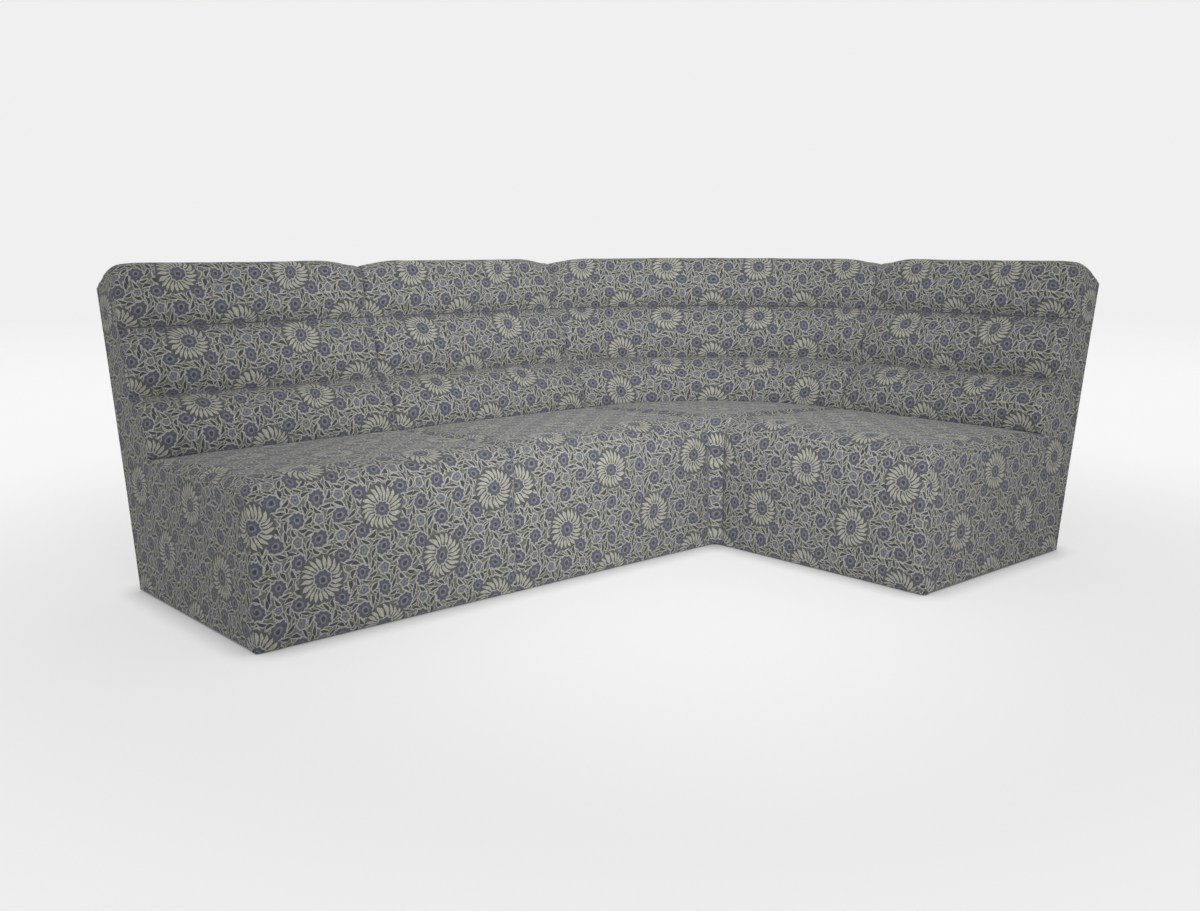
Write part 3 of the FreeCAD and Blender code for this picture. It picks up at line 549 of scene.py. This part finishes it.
class Wire:
    """A node's output in a material. Operators on it add Math nodes, and node() adds any other node."""

    def __init__(self, tree, socket=None):
        self.tree = tree
        self.socket = socket

    def node(self, kind, settings=None, sockets=None, output=0):
        """Adds a node: its settings first, then the values or links of its sockets, by name or number."""
        made = self.tree.nodes.new(kind)
        for name, value in (settings or {}).items():
            setattr(made, name, value)
        for name, value in (sockets or {}).items():
            if isinstance(value, Wire):
                self.tree.links.new(value.socket, made.inputs[name])
            else:
                made.inputs[name].default_value = value
        return Wire(self.tree, made.outputs[output] if made.outputs else None)

    def out(self, output):
        """Another output of the same node."""
        return Wire(self.tree, self.socket.node.outputs[output])

    def math(self, operation, *others):
        """A Math node on this value and up to two more."""
        return self.node("ShaderNodeMath", {"operation": operation}, dict(enumerate((self, *others))))

    def __add__(self, other):
        return self.math("ADD", other)

    def __sub__(self, other):
        return self.math("SUBTRACT", other)

    def __rsub__(self, other):
        return self.node("ShaderNodeMath", {"operation": "SUBTRACT"}, {0: other, 1: self})

    def __mul__(self, other):
        return self.math("MULTIPLY", other)

    def __truediv__(self, other):
        return self.math("DIVIDE", other)

    def __abs__(self):
        return self.math("ABSOLUTE")

    __radd__ = __add__
    __rmul__ = __mul__

    def ramp(self, low, high):
        """Smooth step from 0 at low to 1 at high; a low above high falls instead."""
        settings = {"interpolation_type": "SMOOTHSTEP"}
        return self.node("ShaderNodeMapRange", settings, {0: self, 1: low, 2: high})

    def mix(self, under, over):
        """Two colours blended by this value."""
        sockets = {0: self, 6: under, 7: over}
        return self.node("ShaderNodeMix", {"data_type": "RGBA"}, sockets, output=2)

    def vector(self, operation, *others, output=0):
        """A Vector Math node on this vector and others."""
        return self.node("ShaderNodeVectorMath", {"operation": operation},
                         dict(enumerate((self, *others))), output)

    def parts(self):
        """The x and y parts of a vector."""
        split = self.node("ShaderNodeSeparateXYZ", None, {0: self})
        return split, split.out(1)


def new_material(name):
    """Empty material and the wire that adds its nodes."""
    material = bpy.data.materials.new(name)
    material.use_nodes = True
    material.node_tree.nodes.clear()
    return material, Wire(material.node_tree)


def surface(wire, sockets):
    """Principled shader joined to the material's output."""
    shader = wire.node("ShaderNodeBsdfPrincipled", None, sockets)
    wire.node("ShaderNodeOutputMaterial", None, {"Surface": shader})


def colour(red, green, blue):
    """Colour as a screen shows it, 0 to 255, turned to light."""
    levels = np.array([red, green, blue]) / 255
    light = np.where(levels <= 0.04045, levels / 12.92, ((levels + 0.055) / 1.055) ** 2.4)
    return (*light.tolist(), 1.0)


# Printed cloth: blossoms on a diamond lattice, each in a wreath of leaves, with rosettes and strewn leaves
# between them and large asters on a wider lattice

HALF_ACROSS = 0.058       # half the lattice's period along the cloth
HALF_UP = 0.052           # half its period up the cloth
ASTER_SPREAD = 3          # the asters' lattice is larger by this
ASTER_FIELD = 0.060       # radius of the shaded field under an aster
FIELD_BLUR = 0.004        # and its soft edge
WOBBLE = 0.022            # range of the drawing's wobble
WOBBLES = 16              # and how many there are to a metre
SCALLOP = 0.07            # depth of the petals' scallops, as a share of the blossom's radius
PETAL_RING = 0.42         # pale ring in a blossom, as a share of its radius
EYE = (0.3, 0.22)         # soft edge of its dark eye
PETAL_BORDER = 0.0034     # pale borders of blossoms, wreaths and strewn leaves, and the dark one of asters
WREATH_BORDER = 0.0028
STREWN_BORDER = 0.0022
ASTER_BORDER = 0.0012
LEAF_BLUR = 0.0004        # half the soft edge of a leaf
WREATH_BEND = 12          # bend of the leaves, per metre
STREWN_BEND = 20
YARNS = 900               # yarns to a metre
SLUBS = 90                # thick places to a metre of yarn

GROUND = colour(112, 113, 109)
CREAM = colour(176, 176, 164)
SLATE = colour(97, 99, 114)
MIST = colour(118, 121, 130)
SMOKE = colour(94, 95, 96)
CHARCOAL = colour(74, 76, 85)

BLOSSOM = {"radius": 0.0205, "petals": 9, "fill": SLATE, "shade": CHARCOAL}
ROSETTE = {"radius": 0.0118, "petals": 5, "fill": MIST, "shade": SLATE}
WREATH = {"count": 7, "radius": 0.0325, "tilt": 0.95, "length": 0.0135, "width": 0.0042}
ASTER = {"count": 21, "radius": 0.043, "tilt": 0.35, "length": 0.021, "width": 0.0046}
STREWN = {"spacing": 0.021, "length": 0.0085, "width": 0.0028}


def nearest_knot(cloth, shift, size=1):
    """Nearest point of the diamond lattice, made larger by a size and shifted along the cloth by a number
    of half periods: the distance from it and the angle round it, from a random start. Sums and differences
    of the two counted periods make the diamonds squares, where rounding finds the nearest point."""
    across, up = cloth.parts()
    half_across, half_up = HALF_ACROSS * size, HALF_UP * size
    column = across / half_across + shift
    row = up / half_up
    rising = ((column + row) * 0.5).math("ROUND")
    falling = ((column - row) * 0.5).math("ROUND")
    x = (column - rising - falling) * half_across
    y = (row - rising + falling) * half_up
    knot = cloth.node("ShaderNodeCombineXYZ", None, {0: rising, 1: falling, 2: shift})
    chance = cloth.node("ShaderNodeTexWhiteNoise", {"noise_dimensions": "3D"}, {"Vector": knot}, "Value")
    return (x * x + y * y).math("SQRT"), y.math("ARCTAN2", x) + chance * math.tau


def leaf_edge(along, beside, length, width):
    """Distance outside a lens-shaped leaf: off the midrib, less half the width, a parabola along it."""
    share = along / length
    return abs(beside) - width * (1 - share * share)


def wreath_edge(reach, angle, count, radius, tilt, length, width):
    """Distance outside the nearest of several leaves set round a knot, each turned by a tilt and bent."""
    sector = math.tau / count
    aside = (angle - (angle / sector).math("ROUND") * sector) * reach
    outward = reach - radius
    along = outward * math.cos(tilt) + aside * math.sin(tilt)
    beside = aside * math.cos(tilt) - outward * math.sin(tilt)
    return leaf_edge(along, beside - along * along * WREATH_BEND, length, width)


def blossom(under, reach, angle, radius, petals, fill, shade):
    """Round flower over the colour beneath it: border with scalloped petals, petal lines, ring and eye."""
    scallop = (angle * petals).math("COSINE") * SCALLOP + 1
    share = reach / (scallop * radius)
    rim = PETAL_BORDER / radius
    parted = abs((angle * (petals / 2)).math("SINE")).ramp(0.34, 0.1) * share.ramp(0.35, 0.6)
    ring = abs(share - PETAL_RING).ramp(0.13, 0.05)
    flower = (parted * 0.75).mix(fill, shade)
    flower = (ring * 0.35).mix(flower, CREAM)
    flower = share.ramp(*EYE).mix(flower, shade)
    bordered = share.ramp(1 + rim * 1.3, 1 + rim * 0.8).mix(under, CREAM)
    return share.ramp(1.05, 0.95).mix(bordered, flower)


def leaves(under, edge, fill, rim, border=CREAM):
    """Leaves over the colour beneath them: a border and a body."""
    bordered = edge.ramp(rim * 1.25, rim * 0.75).mix(under, border)
    return edge.ramp(LEAF_BLUR, -LEAF_BLUR).mix(bordered, fill)


def scattered_leaves(under, cloth, spacing, length, width, fill):
    """Small leaves strewn on a loose grid, each turned its own way."""
    sockets = {"Vector": cloth, "Scale": 1 / spacing, "Randomness": 0.55}
    cell = cloth.node("ShaderNodeTexVoronoi", {"voronoi_dimensions": "2D"}, sockets)
    place = cloth.vector("SUBTRACT", cell.out("Position"))
    chance, _ = cell.out("Color").parts()
    sockets = {"Vector": place, "Angle": chance * math.tau}
    along, beside = cloth.node("ShaderNodeVectorRotate", {"rotation_type": "Z_AXIS"}, sockets).parts()
    edge = leaf_edge(along, beside - along * along * STREWN_BEND, length, width)
    return leaves(under, edge, fill, STREWN_BORDER)


def flat_cloth(wire):
    """Place on the fabric in metres, drawn a little out of true as a hand would."""
    cloth = wire.node("ShaderNodeUVMap", {"uv_map": "Cloth"})
    wobble = wire.node("ShaderNodeTexNoise", {"noise_dimensions": "2D"},
                       {"Vector": cloth, "Scale": WOBBLES, "Detail": 2}, "Color")
    shift = wobble.vector("SUBTRACT", (0.5, 0.5, 0.5)).vector("MULTIPLY", (WOBBLE, WOBBLE, 0))
    return cloth, cloth.vector("ADD", shift)


def print_colour(drawn):
    """The printed design, built up from the ground over strewn leaves and blossoms to the large asters."""
    design = scattered_leaves(GROUND, drawn, **STREWN, fill=CHARCOAL)
    reach, angle = nearest_knot(drawn, 0)
    design = leaves(design, wreath_edge(reach, angle, **WREATH), CHARCOAL, WREATH_BORDER)
    design = blossom(design, *nearest_knot(drawn, 1), **ROSETTE)
    design = blossom(design, reach, angle, **BLOSSOM)
    reach, angle = nearest_knot(drawn, 0, ASTER_SPREAD)
    design = reach.ramp(ASTER_FIELD + FIELD_BLUR, ASTER_FIELD).mix(design, SMOKE)
    design = leaves(design, wreath_edge(reach, angle, **ASTER), CREAM, ASTER_BORDER, CHARCOAL)
    return blossom(design, reach, angle, **BLOSSOM)


def yarns(cloth, stretch):
    """Uneven yarns one way: noise with a count to the metre each way."""
    sockets = {"Vector": cloth.vector("MULTIPLY", stretch), "Scale": 1, "Detail": 2}
    return cloth.node("ShaderNodeTexNoise", {"noise_dimensions": "2D"}, sockets)


def printed_fabric():
    """Flat-woven cloth with an all-over print: matt, faintly downy, with slubby yarns both ways."""
    material, wire = new_material("printed_fabric")
    cloth, drawn = flat_cloth(wire)
    design = print_colour(drawn)
    slub = (yarns(cloth, (YARNS, SLUBS, 0)) + yarns(cloth, (SLUBS, YARNS, 0))) * 0.5
    worn = slub.ramp(0.36, 0.64)
    tint = worn.mix(colour(188, 188, 188), colour(255, 255, 255))
    dyed = wire.node("ShaderNodeMix", {"data_type": "RGBA", "blend_type": "MULTIPLY"},
                     {0: 1.0, 6: design, 7: tint}, 2)
    bump = wire.node("ShaderNodeBump", None, {"Strength": 0.35, "Distance": 0.0006, "Height": slub})
    surface(wire, {"Base Color": dyed, "Roughness": 0.92, "Specular IOR Level": 0.25,
                   "Sheen Weight": 0.12, "Sheen Roughness": 0.5, "Normal": bump})
    return material


# Finishes of the frame, which shows underneath and when a seat is lifted

RIB_SPACING = 0.004       # ribs of the elastic webbing


def wood(name, light, dark, stretch):
    """Wood with a grain of stretched noise; stretch gives the noise's scale along each axis."""
    material, wire = new_material(name)
    place = wire.node("ShaderNodeTexCoord", output="Object").vector("MULTIPLY", stretch)
    sockets = {"Vector": place, "Scale": 1, "Detail": 4, "Distortion": 0.6}
    grain = wire.node("ShaderNodeTexNoise", None, sockets)
    surface(wire, {"Base Color": grain.ramp(0.35, 0.7).mix(light, dark), "Roughness": 0.62})
    return material


def plain(name, light, dark, spacing, roughness, metallic=0.0):
    """Even finish with a fine mottle of a given spacing."""
    material, wire = new_material(name)
    place = wire.node("ShaderNodeTexCoord", output="Object")
    mottle = wire.node("ShaderNodeTexNoise", None, {"Vector": place, "Scale": 1 / spacing, "Detail": 3})
    surface(wire, {"Base Color": mottle.ramp(0.3, 0.7).mix(light, dark), "Roughness": roughness,
                   "Metallic": metallic})
    return material


def elastic_webbing():
    """Ribbed elastic tape: fine ribs whose colour follows their height, grey on the crests and dark down in
    the grooves.
    """
    material, wire = new_material("webbing")
    x, y = wire.node("ShaderNodeTexCoord", output="Object").parts()
    ribs = ((x + y) * (math.tau / RIB_SPACING)).math("SINE")
    bump = wire.node("ShaderNodeBump", None, {"Strength": 0.5, "Distance": 0.0004, "Height": ribs})
    # colour in step with the bump: darker where the ribs are low, in the grooves, and grey on their crests
    tint = ribs.ramp(-1, 1).mix(colour(44, 44, 46), colour(92, 91, 88))
    surface(wire, {"Base Color": tint, "Roughness": 0.85, "Normal": bump})
    return material


plywood = wood("plywood", colour(214, 190, 152), colour(188, 158, 116), (7, 7, 45))
beech = wood("beech", colour(208, 168, 128), colour(182, 138, 98), (60, 60, 9))
webbing = elastic_webbing()
dust_cloth = plain("dust_cloth", colour(48, 48, 50), colour(36, 36, 38), 0.0015, 0.95)
glide_plastic = plain("glide_plastic", colour(58, 55, 52), colour(50, 47, 45), 0.004, 0.45)
zinc_steel = plain("zinc_steel", colour(186, 188, 192), colour(164, 167, 172), 0.006, 0.34, 1.0)

FRAME_FINISH = {
    "side_frames": plywood, "ribs": plywood, "seat_deck": plywood,
    "front_board": plywood, "back_board": plywood,
    "base_rails": beech, "back_rails": beech,
    "seat_webbing": webbing,
    "dust_cover": dust_cloth,
    "glides": glide_plastic,
    "hooks": zinc_steel, "slotted_plates": zinc_steel,
}
for name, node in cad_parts.items():
    finish = FRAME_FINISH.get(name.split("_", 1)[1])
    if finish:
        for holder in node.material_slots:
            holder.material = finish


# Upholstery of every seat

# section, share of the rolled edge's fall, growth of the radius along the section, spacing of the rings and
# furthest that the pad swells
SECTIONS = {
    "seat_pad": (seat_section, SEAT_SHARE, 1, 0.014, 0.005),
    "lumbar_channel": (lumbar_section, 1, 0.5, 0.014, 0.007),
    "middle_channel": (middle_section, 1, 0.3, 0.014, 0.007),
    "top_channel": (top_section, 1, 0.05, 0.014, 0.006),
    "outside_back": (outside_section, OUTSIDE_SHARE, -0.2, 0.020, 0),
}
fabric = printed_fabric()


def dress(piece, seat, node):
    """Fabric, finish slot, body and CAD node of an upholstery piece."""
    piece.data.materials.append(fabric)
    finish = piece.modifiers.new("Smooth", "SUBSURF")
    finish.levels = finish.render_levels = 1
    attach(piece, f"{seat}_seat")
    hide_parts(f"{seat}_{node}")


for seat in SEATS:
    for node in SECTIONS:
        dress(sewn_pad(seat, node), seat, node)
    for outward in (-1, 1):
        dress(end_cover(seat, outward), seat, "side_covers")


# Studio

FLOOR_RINGS = (2, 4, 8, 14, 20)   # radii of the floor's rings
FLOOR_STEPS = 64                  # points on a ring
FLOOR_FADE = (5, 15)              # from where to where the floor fades out
FLOOR_TONE = 0.8                  # floor as the sofa sees it
FLOOR_SEEN = 0.4                  # as the camera sees it, less because of the glow
FLOOR_GLOW = 0.56
GLOW_RISE = 0.13                  # more glow away from the sofa
GLOW_REACH = (1.2, 3.2)           # from where to where it rises
CONTACT = 0.08                    # how near things shade the floor
DOME = 0.93                       # light from all round, at the horizon
DOME_FALL = 0.47                  # less of it from above
WALL = 0.87                       # backdrop as the camera sees it


def grey(level):
    """Grey as light."""
    return (level, level, level, 1)


def seen_directly(wire):
    """One for rays from the camera and for those that a mirror or glass passes on, else nothing."""
    path = wire.node("ShaderNodeLightPath", output="Is Camera Ray")
    return path.math("MAXIMUM", path.out("Is Glossy Ray")).math("MAXIMUM", path.out("Is Transmission Ray"))


def studio_floor():
    """Round pale floor that fades into the backdrop. Its glow lights nothing, and dims near things."""
    turn = np.linspace(0, math.tau, FLOOR_STEPS, endpoint=False)
    radius = np.array(FLOOR_RINGS)[:, None]
    points = np.stack([radius * np.cos(turn), radius * np.sin(turn), 0 * radius * turn], axis=-1)
    outer_ladder = FLOOR_STEPS // 2 - 1
    floor = mesh_piece("floor", points, ring_faces(len(FLOOR_RINGS), FLOOR_STEPS)[:-outer_ladder])
    material, wire = new_material("studio_floor")
    place = wire.node("ShaderNodeTexCoord", output="Object")
    reach = place.vector("LENGTH", output="Value")
    seen = seen_directly(wire)
    tint = seen.mix(grey(FLOOR_TONE), grey(FLOOR_SEEN))
    paper = wire.node("ShaderNodeBsdfDiffuse", None, {"Color": tint})
    open_share = wire.node("ShaderNodeAmbientOcclusion", None, {"Distance": CONTACT}, "AO")
    shade = seen * open_share * (FLOOR_GLOW + reach.ramp(*GLOW_REACH) * GLOW_RISE)
    glow = wire.node("ShaderNodeEmission", None, {"Color": shade, "Strength": 1.0})
    lit = wire.node("ShaderNodeAddShader", None, {0: paper, 1: glow})
    clear = wire.node("ShaderNodeBsdfTransparent")
    fade = wire.node("ShaderNodeMixShader", None, {0: reach.ramp(*FLOOR_FADE), 1: lit, 2: clear})
    wire.node("ShaderNodeOutputMaterial", None, {"Surface": fade})
    floor.data.materials.append(material)


def studio_light():
    """Even light from all round, and one large soft lamp in front of the sofa's inner corner."""
    world = bpy.data.worlds.new("studio")
    bpy.context.scene.world = world
    world.use_nodes = True
    world.node_tree.nodes.clear()
    wire = Wire(world.node_tree)
    seen = seen_directly(wire)
    direction = wire.node("ShaderNodeTexCoord", output="Generated")
    height = wire.node("ShaderNodeSeparateXYZ", None, {0: direction}, "Z")
    shade = DOME - height.ramp(0, 1) * DOME_FALL
    dome = wire.node("ShaderNodeBackground", None, {"Color": shade, "Strength": 1.0})
    wall = wire.node("ShaderNodeBackground", None, {"Color": grey(WALL), "Strength": 1.0})
    both = wire.node("ShaderNodeMixShader", None, {0: seen, 1: dome, 2: wall})
    wire.node("ShaderNodeOutputWorld", None, {"Surface": both})
    lamp = bpy.data.lights.new("key", "AREA")
    lamp.shape = "DISK"
    lamp.size = 1.6
    lamp.spread = math.radians(75)
    lamp.energy = 15
    key = bpy.data.objects.new("key", lamp)
    key.location = (-1.2, -1.9, 1.35)
    key.rotation_euler = (math.radians(78), 0, math.radians(-34))
    bpy.context.scene.collection.objects.link(key)


def photo_camera():
    """Camera at the photograph's viewing angle."""
    lens = bpy.data.cameras.new("camera")
    lens.sensor_fit = "HORIZONTAL"
    lens.sensor_width = 36
    lens.lens = 35.64
    lens.shift_x = -0.0367
    lens.shift_y = -0.0187
    camera = bpy.data.objects.new("camera", lens)
    camera.location = (-2.4289, -2.6841, 0.9665)
    dip, heading = math.radians(8.951), math.radians(47.097)
    camera.rotation_euler = (math.pi / 2 - dip, 0, heading - math.pi / 2)
    bpy.context.scene.collection.objects.link(camera)
    bpy.context.scene.camera = camera


studio_floor()
studio_light()
photo_camera()
bpy.context.scene.view_settings.view_transform = "Standard"
